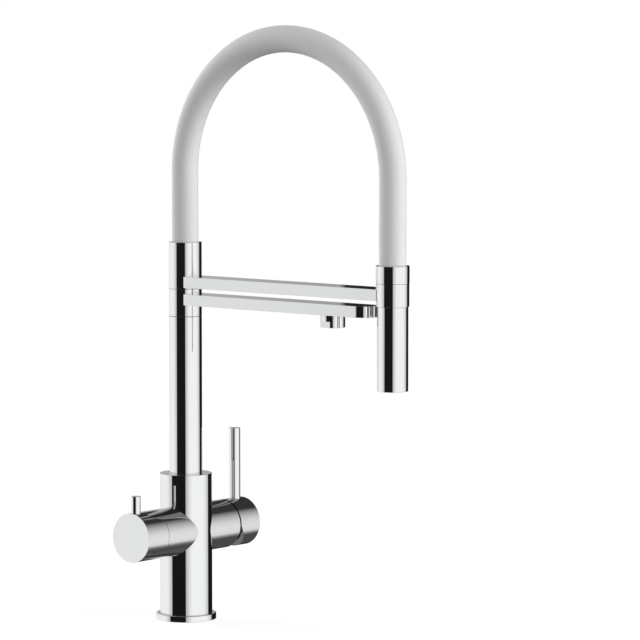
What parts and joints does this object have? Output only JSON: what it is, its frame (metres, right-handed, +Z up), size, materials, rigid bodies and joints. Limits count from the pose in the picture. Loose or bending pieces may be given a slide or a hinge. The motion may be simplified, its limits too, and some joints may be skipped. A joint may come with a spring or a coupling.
{
  "type": "three way filtered water tap",
  "caption": "Tall kitchen mixer tap with an arched silicone hose and docked spray, a separate swivelling filtered water arm, and a handle on each side of the body.",
  "frame": {"origin": "centre of the flange's underside, on the deck plane, at the mouth of the fixing stud's bore", "axes": "+Z up along the column, -Y along both arms towards the basin, +X towards the mixer handle, -X towards the filtered water handle"},
  "size_m": [0.1425, 0.2649, 0.5068],
  "materials": {
    "chrome": "bright chrome plate",
    "brass": "turned brass",
    "steel": "plain stainless steel",
    "silicone": "smooth matt white silicone",
    "seal_rubber": "black rubber",
    "plastic": "moulded plastic",
    "ceramic": "lapped ceramic"
  },
  "bodies": {
    "base": {"base_flange": "chrome", "base_gasket": "seal_rubber", "tap_body": "chrome", "column_tube": "chrome", "mixed_riser": "steel", "filter_riser": "steel", "swivel_spindle": "brass", "swivel_nut": "brass", "lower_glide_ring": "plastic", "lower_swivel_seal": "seal_rubber", "upper_swivel_seal": "seal_rubber", "mixer_cartridge": "plastic", "mixer_fixed_disc": "ceramic", "mixer_nut": "brass", "filter_valve": "brass", "filter_discs": "ceramic"},
    "filter_level": {"lower_swivel_ring": "chrome", "filter_arm": "chrome", "filter_outlet": "chrome", "outlet_strainer": "plastic", "upper_glide_ring": "plastic"},
    "upper_level": {"upper_sleeve": "chrome", "sleeve_bezel": "chrome", "support_arm": "chrome", "dock_magnet": "steel", "hose_nipple": "brass", "hose_arch": "silicone", "water_hose_arch": "seal_rubber", "hose_drop": "silicone", "water_hose_drop": "seal_rubber"},
    "hose_end": {"spray_collar": "chrome", "hose_ferrule": "brass"},
    "spray_head": {"spray_core": "plastic", "spray_ring": "chrome", "spray_shell": "chrome", "spray_face": "seal_rubber"},
    "mixer_carriage": {"mixer_carrier": "plastic", "mixer_moving_disc": "ceramic", "mixer_dome": "plastic", "tilt_pin": "steel"},
    "mixer_handle": {"mixer_stem": "brass", "mixer_cap": "chrome", "mixer_lever": "chrome", "mixer_grub_screw": "steel"},
    "filter_handle": {"filter_spindle": "brass", "filter_cap": "chrome", "filter_lever": "chrome", "filter_grub_screw": "steel"}
  },
  "joints": [
    {"name": "filter_swivel", "type": "hinge", "parent": "base", "child": "filter_level", "pos_m": [0, 0, 0.2743], "axis": [0, 0, 1], "range_deg": [-180, 180]},
    {"name": "upper_swivel", "type": "hinge", "parent": "base", "child": "upper_level", "pos_m": [0, 0, 0.2921], "axis": [0, 0, 1], "range_deg": [-180, 180]},
    {"name": "spray_pull", "type": "slide", "parent": "upper_level", "child": "hose_end", "axis": [0, 0, -1], "range_m": [0, 0.08], "deforming": ["hose_drop", "water_hose_drop"]},
    {"name": "spray_turn", "type": "hinge", "parent": "hose_end", "child": "spray_head", "pos_m": [0, -0.2255, 0.2804], "axis": [0, 0, 1], "range_deg": [-180, 180]},
    {"name": "mixer_turn", "type": "hinge", "parent": "base", "child": "mixer_carriage", "pos_m": [0.0486, 0, 0.0764], "axis": [1, 0, 0], "range_deg": [-45, 45]},
    {"name": "mixer_tilt", "type": "hinge", "parent": "mixer_carriage", "child": "mixer_handle", "pos_m": [0.0486, 0, 0.0764], "axis": [0, 1, 0], "range_deg": [0, 25]},
    {"name": "filter_turn", "type": "hinge", "parent": "base", "child": "filter_handle", "pos_m": [-0.0446, 0, 0.0764], "axis": [1, 0, 0], "range_deg": [0, 90]}
  ]
}
